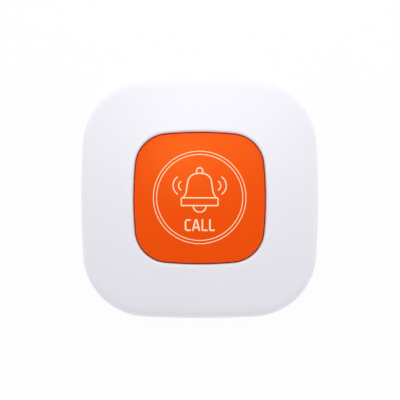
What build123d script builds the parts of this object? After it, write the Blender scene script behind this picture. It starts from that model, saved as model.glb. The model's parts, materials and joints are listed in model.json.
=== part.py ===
from build123d import *
from math import atan2, cos, degrees, pi, radians, sin, sqrt, tan
import os

os.makedirs("parts", exist_ok=True)

# A wireless call button for a restaurant table: a white puck with one large key in its middle.
# Millimetres. z = 0 is the table under the feet, and +Y is the far side of the key.

# ---- Outlines: squares with bowed sides and round corners ----
body_width = 70.0
body_side_radius = 297.0
body_corner_radius = 19.0
cap_width = 38.3
cap_side_radius = 110.0
cap_corner_radius = 9.5

# ---- Shells ----
shell_wall = 2.0
side_draft = 1.5  # degrees
crown_radius = 150.0
crown_rise = 3.7  # from the pads that stop the key to the top of the dome
edge_radius = 2.5
lip_radius = 1.0
base_depth = 4.4
base_floor = 1.8
base_edge_radius = 2.0
groove = 0.4  # shadow line round the joint between the shells
tongue_thickness = 1.2
tongue_length = 18.0
tongue_height = 1.5
tongue_clearance = 0.3

# ---- Key ----
cap_gap = 0.25
cap_stand = 0.3  # how far the key's dome stands above the housing's
cap_crown_radius = 250.0
cap_thickness = 1.8
cap_wall = 1.4
cap_edge_radius = 0.6
cap_travel = 1.0
press_clearance = 0.2
tab_reach = 1.6
tab_length = 12.0
tab_thickness = 0.8
post_width = 2.0
post_inset = 3.7  # from the inside of the key's wall at a corner to the middle of a post
post_clearance = 0.08
post_floor_gap = 0.3
pad_width = 4.6
cap_rib = 1.0
cap_rib_depth = 0.9
cap_boss_width = 4.0
cap_boss_gap = 0.3

# ---- Key springs ----
spring_length = 3.4
spring_wire = 0.35
spring_radius = 1.9
spring_turns = 3
spring_end_gap = 0.05
coil_sides = 8  # straight lengths in one turn of a coil

# ---- Guide plate and boot ----
plate_stand = 1.7
plate_thickness = 1.2
plate_edge_gap = 0.4
clamp_width = 3.0
clamp_length = 9.0
dam_wall = 0.8
dam_height = 0.8
dam_gap = 0.3
boot_thickness = 0.8
boot_wall = 0.4
boot_flange_width = 1.2
boot_flange_thickness = 0.6
boot_room = 0.3

# ---- Switch ----
switch_width = 12.0
switch_height = 4.3
switch_base_height = 3.0
switch_cover_thickness = 0.3
switch_window_gap = 0.5
plunger_width = 3.8
plunger_flange_width = 5.6
plunger_flange_thickness = 0.9
plunger_clearance = 0.1
plunger_travel = 0.3

# ---- Board and what is soldered to it ----
board_thickness = 1.0
board_side_gap = 3.0
board_boss_gap = 0.4
contact_height = 0.8
contact_strip = 0.2
contact_width = 3.0
contact_reach = 8.9
chip_width = 5.0
chip_height = 0.9
chip_gap = 1.5
chip_row = 9.0
crystal_length = 3.2
crystal_width = 2.5
crystal_height = 0.8
crystal_row = 2.5
capacitor_length = 1.6
capacitor_width = 0.8
capacitor_pitch = 2.0
capacitor_count = 6
capacitor_row = -4.0
can_radius = 2.0
can_height = 3.6
can_foot_height = 0.6
can_gap = 2.8
can_row = 6.0
antenna_radius = 1.9
antenna_wire = 0.6
antenna_pitch = 2.2
antenna_turns = 5
antenna_gap = 3.5

# ---- Cell and its door ----
cell_radius = 10.0
cell_thickness = 3.2
cell_gap = 0.3
door_thickness = 2.6
door_sink = 0.2
door_flange_thickness = 1.2
door_flange_radius = 13.4
door_gap = 0.3
neck_wall = 1.1
bayonet_thickness = 1.0
lug_reach = 1.6
lug_thickness = 0.8
lug_clearance = 0.1
lug_arc = 30.0
lug_slot_arc = 36.0
lug_start = 30.0
door_turn = 40.0
stop_arc = 5.0
stop_gap = 1.5  # degrees
well_wall = 1.5
well_rise = 0.5
seal_height = 0.8
seal_width = 1.1
seal_sides = 36
coin_slot_length = 13.0
coin_slot_width = 2.2
coin_slot_depth = 1.0

# ---- Feet, screws and bosses ----
foot_width = 7.0
foot_corner = 1.0
foot_thickness = 1.6
foot_stand = 0.8
foot_clearance = 0.15
cover_boss_radius = 3.0
boss_sides = 8
cover_boss_inset = 5.6  # from the inside of the housing's wall at a corner to the boss's middle
cover_screw_radius = 1.0
cover_screw_length = 7.0
cover_head_radius = 2.0
cover_head_height = 1.3
screw_clearance = 0.1
pilot_spare = 0.5
web = 1.2
prop_width = 3.0
prop_place = 15.5

# ---- Heights, built up from the table ----
base_underside = foot_stand
floor_top = base_underside + base_floor
seam_height = base_underside + base_depth
door_face = base_underside + door_sink
door_flange_top = door_face + door_flange_thickness
bayonet_bottom = door_flange_top + seal_height
bayonet_top = bayonet_bottom + bayonet_thickness
lug_bottom = bayonet_top + lug_clearance
lug_top = lug_bottom + lug_thickness
well_top = lug_top + well_rise
cell_bottom = door_face + door_thickness
cell_top = cell_bottom + cell_thickness
board_bottom = cell_top + contact_height
board_top = board_bottom + board_thickness
plunger_top = board_top + switch_height
switch_base_top = board_top + switch_base_height
well_floor = switch_base_top - plunger_flange_thickness - plunger_travel - 2 * plunger_clearance
plate_bottom = board_top + plate_stand
plate_top = plate_bottom + plate_thickness
cap_bottom = plate_top + press_clearance + cap_travel
landing_height = cap_bottom + tab_thickness
crown_height = landing_height + crown_rise
cap_crown_height = crown_height + cap_stand
cap_ceiling = cap_crown_height - cap_thickness
boot_top = plunger_top + boot_thickness
boot_shoulder = switch_base_top + switch_cover_thickness + boot_room
spring_top = plate_top + spring_length
post_bottom = board_top + cap_travel + post_floor_gap
foot_recess_top = foot_thickness
cover_seat = foot_recess_top + cover_head_height + screw_clearance
cover_screw_tip = cover_seat + cover_screw_length


def corner_center(width, side_radius, corner_radius):
    """Return the x (and y) of a corner arc's centre, so that it runs smoothly into the bowed sides."""
    side_center = width / 2 - side_radius
    return (sqrt(2 * (side_radius - corner_radius) ** 2 - side_center**2) + side_center) / 2


# ---- Widths worked out from the ones above ----
cap_corner_reach = sqrt(2) * corner_center(cap_width, cap_side_radius, cap_corner_radius) + cap_corner_radius
body_corner_reach = (
    sqrt(2) * corner_center(body_width, body_side_radius, body_corner_radius) + body_corner_radius
)
post_place = (cap_corner_reach - cap_wall - post_inset) / sqrt(2)
corner_circle = body_corner_reach - shell_wall - cover_boss_inset
neck_radius = cell_radius + cell_gap + neck_wall
bayonet_radius = neck_radius + door_gap
lug_radius = neck_radius + lug_reach
lug_room_radius = lug_radius + door_gap
door_recess_radius = door_flange_radius + door_gap
well_radius = door_recess_radius + well_wall
board_width = body_width - 2 * shell_wall - 2 * board_side_gap
board_cut = board_width - sqrt(2) * (corner_circle - cover_boss_radius - board_boss_gap)
plate_width = board_width - 2 * plate_edge_gap
clamp_place = (cap_width / 2 + tab_reach + board_width / 2) / 2
switch_window = switch_width + 2 * switch_window_gap
boot_inner_width = switch_width + 2 * boot_room
boot_width = boot_inner_width + 2 * boot_wall
boot_flange = switch_window + 2 * boot_flange_width
boot_crown_width = plunger_width + 2 * boot_thickness
chip_column = -post_place - post_width / 2 - chip_gap - chip_width / 2
can_column = -well_radius - can_gap - can_radius
antenna_column = well_radius + antenna_gap + antenna_radius

# A round edge is cut as flats: one wide one, and a narrow one on each side of it where there are three.
wide_flat = 2 - sqrt(2)
narrow_flat = tan(radians(22.5)) - tan(radians(11.25))
on_side = (90, 0, 0)  # keeps a sphere's poles clear of the dome cut with it


class BowedSquare(BaseSketchObject):
    """A square with four bowed sides and four round corners, moved outwards all round by grow."""

    def __init__(self, width, side_radius, corner_radius, grow=0.0, mode=Mode.ADD):
        side_center = width / 2 - side_radius
        corner = corner_center(width, side_radius, corner_radius)
        blend = degrees(atan2(corner, corner - side_center))
        with BuildSketch() as outline:
            with BuildLine():
                for quarter in range(4):
                    turn = 90 * quarter
                    side = Vector(side_center, 0).rotate(Axis.Z, turn)
                    bend = Vector(corner, corner).rotate(Axis.Z, turn)
                    CenterArc(side, side_radius + grow, turn - blend, 2 * blend)
                    CenterArc(bend, corner_radius + grow, turn + blend, 90 - 2 * blend)
            make_face()
        super().__init__(obj=outline.sketch, mode=mode)


class BodyOutline(BowedSquare):
    """The housing's outline, moved outwards by grow."""

    def __init__(self, grow=0.0, mode=Mode.ADD):
        super().__init__(body_width, body_side_radius, body_corner_radius, grow, mode)


class CapOutline(BowedSquare):
    """The key's outline, moved outwards by grow."""

    def __init__(self, grow=0.0, mode=Mode.ADD):
        super().__init__(cap_width, cap_side_radius, cap_corner_radius, grow, mode)


class FootOutline(BaseSketchObject):
    """A foot's outline: a square with its corners cut, moved outwards by grow."""

    def __init__(self, grow=0.0, mode=Mode.ADD):
        width = foot_width + 2 * grow
        with BuildSketch() as outline:
            Rectangle(width, width)
            chamfer(outline.vertices(), foot_corner + grow * wide_flat)
        super().__init__(obj=outline.sketch, mode=mode)


def coil_corners(radius, pitch, turns):
    """Return the corners of a coil that climbs the Z axis in straight lengths."""
    corners = []
    for step in range(turns * coil_sides + 1):
        angle = 2 * pi * step / coil_sides
        corners.append((radius * cos(angle), radius * sin(angle), pitch * step / coil_sides))
    return corners


# ---- Top housing ----
# The hollow inside the top housing: pads, ribs, bosses and webs are left standing in it.
with BuildPart() as housing_hollow:
    with BuildSketch(Plane.XY.offset(seam_height)):
        BodyOutline(grow=-shell_wall)
    extrude(amount=crown_height - seam_height, taper=side_draft)
    with Locations((0, 0, crown_height - crown_radius)):
        Sphere(crown_radius - shell_wall, rotation=on_side, mode=Mode.INTERSECT)
    # Pads beside the opening, which the key's four tabs rise against
    with BuildSketch(Plane.XY.offset(landing_height)):
        with PolarLocations(cap_width / 2, 4):
            Rectangle(2 * tab_reach, tab_length)
    extrude(amount=crown_height - landing_height, mode=Mode.SUBTRACT)
    # Four ribs that hold the guide plate down
    with BuildSketch(Plane.XY.offset(plate_top)):
        with PolarLocations(clamp_place, 4):
            Rectangle(clamp_width, clamp_length)
    extrude(amount=crown_height - plate_top, mode=Mode.SUBTRACT)
    # Four corner bosses down to the seam, each tied to the wall by a web
    with BuildSketch(Plane.XY.offset(seam_height)):
        with PolarLocations(corner_circle, 4, start_angle=45):
            RegularPolygon(cover_boss_radius, boss_sides)
            Rectangle(body_corner_radius, web, align=(Align.MIN, Align.CENTER))
    extrude(amount=crown_height - seam_height, mode=Mode.SUBTRACT)

with BuildPart() as top_housing:
    with BuildSketch(Plane.XY.offset(seam_height)):
        BodyOutline()
    extrude(amount=crown_height - seam_height, taper=side_draft)
    with Locations((0, 0, crown_height - crown_radius)):
        Sphere(crown_radius, rotation=on_side, mode=Mode.INTERSECT)
    chamfer(top_housing.faces().filter_by(GeomType.SPHERE).edges(), edge_radius * wide_flat)
    chamfer(top_housing.edges().filter_by(GeomType.BSPLINE), edge_radius * narrow_flat)
    # Opening for the key, with a rolled lip
    with BuildSketch(Plane.XY.offset(seam_height)):
        CapOutline(grow=cap_gap)
    extrude(amount=crown_height - seam_height, mode=Mode.SUBTRACT)
    lip = top_housing.faces().filter_by(GeomType.SPHERE)[0].inner_wires()[0]
    chamfer(lip.edges(), lip_radius * wide_flat)
    add(housing_hollow.part, mode=Mode.SUBTRACT)
    # Shadow groove round the joint
    with BuildSketch(Plane.XY.offset(seam_height)):
        BodyOutline(grow=groove)
        BodyOutline(grow=-groove, mode=Mode.SUBTRACT)
    extrude(amount=groove, mode=Mode.SUBTRACT)
    # Six-sided pilot holes, which the cover screws form their threads in
    with BuildSketch(Plane.XY.offset(seam_height)):
        with PolarLocations(corner_circle, 4, start_angle=45):
            RegularPolygon(cover_screw_radius, 6, major_radius=False)
    extrude(amount=cover_screw_tip + pilot_spare - seam_height, mode=Mode.SUBTRACT)
top_housing.part.label = "top_housing"
export_step(top_housing.part, "parts/top_housing.step")

# ---- Call cap ----
# The hollow under the key: ribs, spring pads and the middle boss are left standing in it.
with BuildPart() as cap_hollow:
    with BuildSketch(Plane.XY.offset(cap_bottom)):
        CapOutline(grow=-cap_wall)
    extrude(amount=cap_crown_height - cap_bottom)
    with Locations((0, 0, cap_crown_height - cap_crown_radius)):
        Sphere(cap_crown_radius - cap_thickness, rotation=on_side, mode=Mode.INTERSECT)
    with BuildSketch(Plane.XY.offset(boot_top + cap_boss_gap)):
        Rectangle(cap_boss_width, cap_boss_width)
    extrude(amount=cap_crown_height - boot_top, mode=Mode.SUBTRACT)
    with BuildSketch(Plane.XY.offset(cap_ceiling - cap_rib_depth)):
        with PolarLocations(0, 4, start_angle=45):
            Rectangle(cap_width, cap_rib)
    extrude(amount=cap_thickness, mode=Mode.SUBTRACT)
    with BuildSketch(Plane.XY.offset(spring_top)):
        with GridLocations(2 * post_place, 2 * post_place, 2, 2):
            Rectangle(pad_width, pad_width)
    extrude(amount=cap_crown_height - spring_top, mode=Mode.SUBTRACT)

with BuildPart() as call_cap:
    with BuildSketch(Plane.XY.offset(cap_bottom)):
        CapOutline()
    extrude(amount=cap_crown_height - cap_bottom)
    with Locations((0, 0, cap_crown_height - cap_crown_radius)):
        Sphere(cap_crown_radius, rotation=on_side, mode=Mode.INTERSECT)
    chamfer(call_cap.faces().filter_by(GeomType.SPHERE).edges(), cap_edge_radius * wide_flat)
    # A tab in the middle of each side keeps the key in the housing
    with BuildSketch(Plane.XY.offset(cap_bottom)):
        with PolarLocations((cap_width - cap_wall) / 2, 4):
            Rectangle(cap_wall / 2 + tab_reach, tab_length, align=(Align.MIN, Align.CENTER))
    extrude(amount=tab_thickness)
    add(cap_hollow.part, mode=Mode.SUBTRACT)
    with BuildSketch(Plane.XY.offset(post_bottom)):
        with GridLocations(2 * post_place, 2 * post_place, 2, 2):
            Rectangle(post_width, post_width)
    extrude(amount=spring_top - post_bottom)
call_cap.part.label = "call_cap"
export_step(call_cap.part, "parts/call_cap.step")

# ---- Cap springs: one coil round each post, between the guide plate and the cap's pad ----
spring_pitch = (spring_length - spring_wire - spring_end_gap) / spring_turns
coil_foot = plate_top + spring_wire / 2
post_places = GridLocations(2 * post_place, 2 * post_place, 2, 2).locations
for number, place in enumerate(post_places, start=1):
    with BuildPart() as cap_spring:
        with BuildLine(Plane((place.position.X, place.position.Y, coil_foot))) as coil:
            Polyline(*coil_corners(spring_radius, spring_pitch, spring_turns))
        with BuildSketch(Plane(origin=coil.line @ 0, z_dir=coil.line % 0)):
            RegularPolygon(spring_wire / 2, 4)
        sweep(transition=Transition.RIGHT)
    cap_spring.part.label = f"cap_spring_{number}"
    export_step(cap_spring.part, f"parts/cap_spring_{number}.step")

# ---- Guide plate ----
with BuildPart() as guide_plate:
    with BuildSketch(Plane.XY.offset(plate_bottom)):
        blank = Rectangle(plate_width, plate_width)
        chamfer(blank.vertices(), board_cut - plate_edge_gap * wide_flat)
    extrude(amount=plate_thickness)
    # Feet on the board, one under each of the housing's ribs
    with BuildSketch(Plane.XY.offset(board_top)):
        with PolarLocations(clamp_place, 4):
            Rectangle(clamp_width, clamp_length)
    extrude(amount=plate_stand)
    with BuildSketch(Plane.XY.offset(plate_bottom)):
        with GridLocations(2 * post_place, 2 * post_place, 2, 2):
            Rectangle(post_width + 2 * post_clearance, post_width + 2 * post_clearance)
        Rectangle(switch_window, switch_window)
    extrude(amount=plate_thickness, mode=Mode.SUBTRACT)
    # Dam round the boot
    with BuildSketch(Plane.XY.offset(plate_top)):
        dam = Rectangle(boot_flange + 2 * dam_gap, boot_flange + 2 * dam_gap)
        offset(dam, dam_wall, kind=Kind.INTERSECTION)
        Rectangle(boot_flange + 2 * dam_gap, boot_flange + 2 * dam_gap, mode=Mode.SUBTRACT)
    extrude(amount=dam_height)
guide_plate.part.label = "guide_plate"
export_step(guide_plate.part, "parts/guide_plate.step")

# ---- Switch boot: a silicone hood that seals the plate's window ----
with BuildPart() as boot_hollow:
    with BuildSketch(Plane.XY.offset(plate_top)):
        Rectangle(boot_inner_width, boot_inner_width)
    extrude(amount=boot_shoulder - plate_top)
    with BuildSketch(Plane.XY.offset(boot_shoulder)):
        Rectangle(boot_inner_width, boot_inner_width)
    inner_lean = atan2((boot_inner_width - plunger_width) / 2, plunger_top - boot_shoulder)
    extrude(amount=plunger_top - boot_shoulder, taper=degrees(inner_lean))

with BuildPart() as switch_boot:
    with BuildSketch(Plane.XY.offset(plate_top)):
        Rectangle(boot_flange, boot_flange)
    extrude(amount=boot_flange_thickness)
    with BuildSketch(Plane.XY.offset(plate_top)):
        Rectangle(boot_width, boot_width)
    extrude(amount=boot_shoulder + boot_wall - plate_top)
    with BuildSketch(Plane.XY.offset(boot_shoulder + boot_wall)):
        Rectangle(boot_width, boot_width)
    outer_lean = atan2((boot_width - boot_crown_width) / 2, boot_top - boot_shoulder - boot_wall)
    extrude(amount=boot_top - boot_shoulder - boot_wall, taper=degrees(outer_lean))
    add(boot_hollow.part, mode=Mode.SUBTRACT)
switch_boot.part.label = "switch_boot"
export_step(switch_boot.part, "parts/switch_boot.step")

# ---- Switch: base, steel cover and plunger ----
with BuildPart() as switch_base:
    with BuildSketch(Plane.XY.offset(board_top)):
        Rectangle(switch_width, switch_width)
    extrude(amount=switch_base_height)
    with BuildSketch(Plane.XY.offset(well_floor)):
        Rectangle(plunger_flange_width + 2 * plunger_clearance, plunger_flange_width + 2 * plunger_clearance)
    extrude(amount=switch_base_height, mode=Mode.SUBTRACT)
switch_base.part.label = "switch_base"
export_step(switch_base.part, "parts/switch_base.step")

with BuildPart() as switch_cover:
    with BuildSketch(Plane.XY.offset(switch_base_top)):
        Rectangle(switch_width, switch_width)
        Rectangle(
            plunger_width + 2 * plunger_clearance,
            plunger_width + 2 * plunger_clearance,
            mode=Mode.SUBTRACT,
        )
    extrude(amount=switch_cover_thickness)
switch_cover.part.label = "switch_cover"
export_step(switch_cover.part, "parts/switch_cover.step")

with BuildPart() as switch_plunger:
    with BuildSketch(Plane.XY.offset(switch_base_top - plunger_clearance)):
        Rectangle(plunger_flange_width, plunger_flange_width)
    extrude(amount=-plunger_flange_thickness)
    with BuildSketch(Plane.XY.offset(switch_base_top - plunger_clearance)):
        Rectangle(plunger_width, plunger_width)
    extrude(amount=plunger_top - switch_base_top + plunger_clearance)
switch_plunger.part.label = "switch_plunger"
export_step(switch_plunger.part, "parts/switch_plunger.step")

# ---- Circuit board ----
with BuildPart() as circuit_board:
    with BuildSketch(Plane.XY.offset(board_bottom)):
        blank = Rectangle(board_width, board_width)
        chamfer(blank.vertices(), board_cut)
    extrude(amount=board_thickness)
circuit_board.part.label = "circuit_board"
export_step(circuit_board.part, "parts/circuit_board.step")

# ---- Parts soldered on the board's upper side ----
with BuildPart() as radio_chip:
    with BuildSketch(Plane.XY.offset(board_top)):
        with Locations((chip_column, chip_row)):
            Rectangle(chip_width, chip_width)
    extrude(amount=chip_height)
radio_chip.part.label = "radio_chip"
export_step(radio_chip.part, "parts/radio_chip.step")

with BuildPart() as radio_crystal:
    with BuildSketch(Plane.XY.offset(board_top)):
        with Locations((chip_column, crystal_row)):
            Rectangle(crystal_length, crystal_width)
    extrude(amount=crystal_height)
radio_crystal.part.label = "radio_crystal"
export_step(radio_crystal.part, "parts/radio_crystal.step")

with BuildPart() as chip_capacitors:
    with BuildSketch(Plane.XY.offset(board_top)):
        with Locations((chip_column, capacitor_row)):
            with GridLocations(2 * capacitor_length, capacitor_pitch, 2, capacitor_count // 2):
                Rectangle(capacitor_length, capacitor_width)
    extrude(amount=capacitor_width)
chip_capacitors.part.label = "chip_capacitors"
export_step(chip_capacitors.part, "parts/chip_capacitors.step")

# ---- Parts hanging under the board ----
with BuildPart() as buffer_capacitor:
    with BuildSketch(Plane.XY.offset(board_bottom)):
        with Locations((can_column, can_row)):
            Rectangle(2 * can_radius, 2 * can_radius)
    extrude(amount=-can_foot_height)
    with BuildSketch(Plane.XY.offset(board_bottom - can_foot_height)):
        with Locations((can_column, can_row)):
            Circle(can_radius)
    extrude(amount=can_foot_height - can_height)
buffer_capacitor.part.label = "buffer_capacitor"
export_step(buffer_capacitor.part, "parts/buffer_capacitor.step")

antenna_length = antenna_pitch * antenna_turns
antenna_axis_height = board_bottom - antenna_radius - antenna_wire
with BuildPart() as antenna_coil:
    coil_plane = Plane((antenna_column, -antenna_length / 2, antenna_axis_height), z_dir=(0, 1, 0))
    with BuildLine(coil_plane) as winding:
        Polyline(*coil_corners(antenna_radius, antenna_pitch, antenna_turns))
    with BuildSketch(Plane(origin=winding.line @ 0, z_dir=winding.line % 0)):
        RegularPolygon(antenna_wire / 2, 4)
    sweep(transition=Transition.RIGHT)
    # A straight lead from each end of the coil up to the board
    for end in (winding.line @ 0, winding.line @ 1):
        with BuildSketch(Plane.XY.offset(end.Z)):
            with Locations((end.X, end.Y)):
                RegularPolygon(antenna_wire / 2, 4)
        extrude(amount=board_bottom - end.Z)
antenna_coil.part.label = "antenna_coil"
export_step(antenna_coil.part, "parts/antenna_coil.step")

# ---- Battery contacts: bent strips under the board ----
with BuildPart() as negative_contact:
    with BuildSketch(Plane.XZ.offset(-contact_width / 2)):
        with BuildLine():
            Polyline(
                (-contact_reach, board_bottom - contact_strip / 2),
                (-contact_reach / 2, board_bottom - contact_strip / 2),
                (contact_reach / 6, cell_top + contact_strip / 2),
                (contact_reach / 3, cell_top + contact_strip / 2),
                (contact_reach / 2, cell_top + contact_height / 2),
            )
        trace(line_width=contact_strip)
    extrude(amount=contact_width)
negative_contact.part.label = "negative_contact"
export_step(negative_contact.part, "parts/negative_contact.step")

contact_x = cell_radius + contact_strip / 2
with BuildPart() as positive_contact:
    with BuildSketch(Plane.XZ.offset(-contact_width / 2)):
        with BuildLine():
            Polyline(
                (contact_x, lug_top + cell_gap),
                (contact_x, board_bottom - contact_strip / 2),
                (contact_x + contact_width, board_bottom - contact_strip / 2),
            )
        trace(line_width=contact_strip)
    extrude(amount=contact_width)
positive_contact.part.label = "positive_contact"
export_step(positive_contact.part, "parts/positive_contact.step")

# ---- Coin cell ----
with BuildPart() as coin_cell:
    with BuildSketch(Plane.XY.offset(cell_bottom)):
        Circle(cell_radius)
    extrude(amount=cell_thickness)
coin_cell.part.label = "coin_cell"
export_step(coin_cell.part, "parts/coin_cell.step")

# ---- Base cover ----
with BuildPart() as base_cover:
    with BuildSketch(Plane.XY.offset(base_underside)):
        BodyOutline()
    extrude(amount=base_depth)
    chamfer(base_cover.faces().sort_by(Axis.Z)[0].edges(), base_edge_radius * wide_flat)
    with BuildSketch(Plane.XY.offset(floor_top)):
        BodyOutline(grow=-shell_wall)
    extrude(amount=base_depth, mode=Mode.SUBTRACT)
    # A tongue in the middle of each side enters the top housing
    with BuildSketch(Plane.XY.offset(floor_top)):
        with PolarLocations(body_width / 2 - shell_wall - tongue_clearance, 4):
            Rectangle(tongue_thickness, tongue_length, align=(Align.MAX, Align.CENTER))
    extrude(amount=seam_height + tongue_height - floor_top)
    # Battery well, corner bosses and the webs between them
    with BuildSketch(Plane.XY.offset(floor_top)):
        with PolarLocations(0, 4, start_angle=45):
            Rectangle(corner_circle, web, align=(Align.MIN, Align.CENTER))
    extrude(amount=bayonet_top - floor_top)
    with BuildSketch(Plane.XY.offset(floor_top)):
        Circle(well_radius)
    extrude(amount=well_top - floor_top)
    with BuildSketch(Plane.XY.offset(floor_top)):
        with PolarLocations(corner_circle, 4, start_angle=45):
            RegularPolygon(cover_boss_radius, boss_sides)
    extrude(amount=seam_height - floor_top)
    # Props under the board that take the push on the key
    with BuildSketch(Plane.XY.offset(floor_top)):
        with GridLocations(2 * prop_place, 2 * prop_place, 2, 2):
            Rectangle(prop_width, prop_width)
    extrude(amount=board_bottom - floor_top)
    # Recess for the door's flange, the bayonet ring's bore and its three slots
    with BuildSketch(Plane.XY.offset(base_underside)):
        Circle(door_recess_radius)
    extrude(amount=bayonet_bottom - base_underside, mode=Mode.SUBTRACT)
    with BuildSketch(Plane.XY.offset(bayonet_bottom)):
        Circle(bayonet_radius)
        with PolarLocations(0, 3, start_angle=lug_start - door_turn - lug_slot_arc / 2):
            Circle(lug_room_radius, arc_size=lug_slot_arc, align=None)
    extrude(amount=bayonet_thickness, mode=Mode.SUBTRACT)
    with BuildSketch(Plane.XY.offset(bayonet_top)):
        Circle(lug_room_radius)
    extrude(amount=well_top - bayonet_top, mode=Mode.SUBTRACT)
    # A stop past each end of a lug's travel
    with BuildSketch(Plane.XY.offset(bayonet_top)):
        with PolarLocations(0, 3, start_angle=lug_start + lug_arc / 2 + stop_gap):
            Circle(well_radius - well_wall / 2, arc_size=stop_arc, align=None)
        Circle(bayonet_radius, mode=Mode.SUBTRACT)
    extrude(amount=lug_top - bayonet_top)
    # Foot recesses, with pockets for the screws' heads in their floors
    with BuildSketch(Plane.XY.offset(base_underside)):
        with PolarLocations(corner_circle, 4, start_angle=45):
            FootOutline(grow=foot_clearance)
    extrude(amount=foot_recess_top - base_underside, mode=Mode.SUBTRACT)
    with BuildSketch(Plane.XY.offset(foot_recess_top)):
        with PolarLocations(corner_circle, 4, start_angle=45):
            RegularPolygon(cover_head_radius + screw_clearance, boss_sides, major_radius=False)
    extrude(amount=cover_seat - foot_recess_top, mode=Mode.SUBTRACT)
    with Locations(Plane.XY.offset(cover_seat)):
        with PolarLocations(corner_circle, 4, start_angle=45):
            Hole(cover_screw_radius + screw_clearance)
base_cover.part.label = "base_cover"
export_step(base_cover.part, "parts/base_cover.step")

# ---- Battery door: a coin turns it free of the bayonet ring ----
with BuildPart() as battery_door:
    with BuildSketch(Plane.XY.offset(door_face)):
        Circle(door_flange_radius)
    extrude(amount=door_flange_thickness)
    with BuildSketch(Plane.XY.offset(door_face)):
        Circle(neck_radius)
    extrude(amount=lug_top - door_face)
    with BuildSketch(Plane.XY.offset(lug_bottom)):
        with PolarLocations(0, 3, start_angle=lug_start - lug_arc / 2):
            Circle(lug_radius, arc_size=lug_arc, align=None)
    extrude(amount=lug_thickness)
    with BuildSketch(Plane.XY.offset(cell_bottom)):
        Circle(cell_radius + cell_gap)
    extrude(amount=lug_top - cell_bottom, mode=Mode.SUBTRACT)
    with BuildSketch(Plane.XY.offset(door_face)):
        Rectangle(coin_slot_length, coin_slot_width)
    extrude(amount=coin_slot_depth, mode=Mode.SUBTRACT)
battery_door.part.label = "battery_door"
export_step(battery_door.part, "parts/battery_door.step")

# ---- Door seal: a flat rubber ring round the door's neck ----
with BuildPart() as door_seal_ring:
    with BuildSketch(Plane.XY.offset(door_flange_top)):
        RegularPolygon(neck_radius + seal_width, seal_sides)
        RegularPolygon(neck_radius, seal_sides, major_radius=False, mode=Mode.SUBTRACT)
    extrude(amount=seal_height)
door_seal_ring.part.label = "door_seal_ring"
export_step(door_seal_ring.part, "parts/door_seal_ring.step")

# ---- Rubber feet ----
for number in range(1, 5):
    angle = radians(90 * number - 45)
    with BuildPart() as rubber_foot:
        with BuildSketch():
            with Locations(Location((corner_circle * cos(angle), corner_circle * sin(angle)), 90 * number - 45)):
                FootOutline()
        extrude(amount=foot_thickness)
    rubber_foot.part.label = f"rubber_foot_{number}"
    export_step(rubber_foot.part, f"parts/rubber_foot_{number}.step")

# ---- Cover screws: hexagon heads, hidden above the feet ----
with BuildPart() as cover_screws:
    with BuildSketch(Plane.XY.offset(cover_seat)):
        with PolarLocations(corner_circle, 4, start_angle=45):
            RegularPolygon(cover_head_radius, 6)
    extrude(amount=-cover_head_height)
    with BuildSketch(Plane.XY.offset(cover_seat)):
        with PolarLocations(corner_circle, 4, start_angle=45):
            Circle(cover_screw_radius)
    extrude(amount=cover_screw_length)
cover_screws.part.label = "cover_screws"
export_step(cover_screws.part, "parts/cover_screws.step")
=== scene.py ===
import json
from math import atan2, cos, pi, radians, sin, sqrt

import bpy
from mathutils import Matrix, Vector

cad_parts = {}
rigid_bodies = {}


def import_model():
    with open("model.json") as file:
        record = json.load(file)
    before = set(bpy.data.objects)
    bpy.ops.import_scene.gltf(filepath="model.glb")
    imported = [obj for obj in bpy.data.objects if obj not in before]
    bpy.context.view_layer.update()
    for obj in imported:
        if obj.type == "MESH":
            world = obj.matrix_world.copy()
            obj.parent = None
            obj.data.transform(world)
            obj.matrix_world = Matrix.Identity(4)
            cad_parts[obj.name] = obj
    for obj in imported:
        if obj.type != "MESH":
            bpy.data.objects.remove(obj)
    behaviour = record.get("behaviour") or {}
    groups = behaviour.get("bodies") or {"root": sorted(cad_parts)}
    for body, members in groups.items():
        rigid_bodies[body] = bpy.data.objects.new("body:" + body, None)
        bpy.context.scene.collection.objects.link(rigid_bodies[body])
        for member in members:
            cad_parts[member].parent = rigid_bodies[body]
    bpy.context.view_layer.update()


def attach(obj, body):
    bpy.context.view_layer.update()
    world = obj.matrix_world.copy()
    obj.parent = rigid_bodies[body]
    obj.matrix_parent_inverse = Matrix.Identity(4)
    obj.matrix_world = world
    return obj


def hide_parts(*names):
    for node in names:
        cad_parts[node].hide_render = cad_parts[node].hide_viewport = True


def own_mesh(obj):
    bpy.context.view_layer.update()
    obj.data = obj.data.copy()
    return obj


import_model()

MM = 0.001

# ---- Camera ----
# A long lens looks almost straight down on the button, from a little to its near side.
camera_height = 1.2
camera_tilt = radians(2.7)
frame_width = 0.1183
aim = Vector((0.0001, -0.0002, 0.0072))

lens = bpy.data.cameras.new("camera")
lens.sensor_width = 36
lens.lens = lens.sensor_width * camera_height / frame_width
lens.clip_end = 10
camera = bpy.data.objects.new("camera", lens)
bpy.context.scene.collection.objects.link(camera)
camera.location = aim + camera_height * Vector((0, -sin(camera_tilt), cos(camera_tilt)))
camera.rotation_euler = (camera_tilt, 0, 0)
bpy.context.scene.camera = camera
bpy.context.scene.view_settings.view_transform = "Standard"


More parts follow.
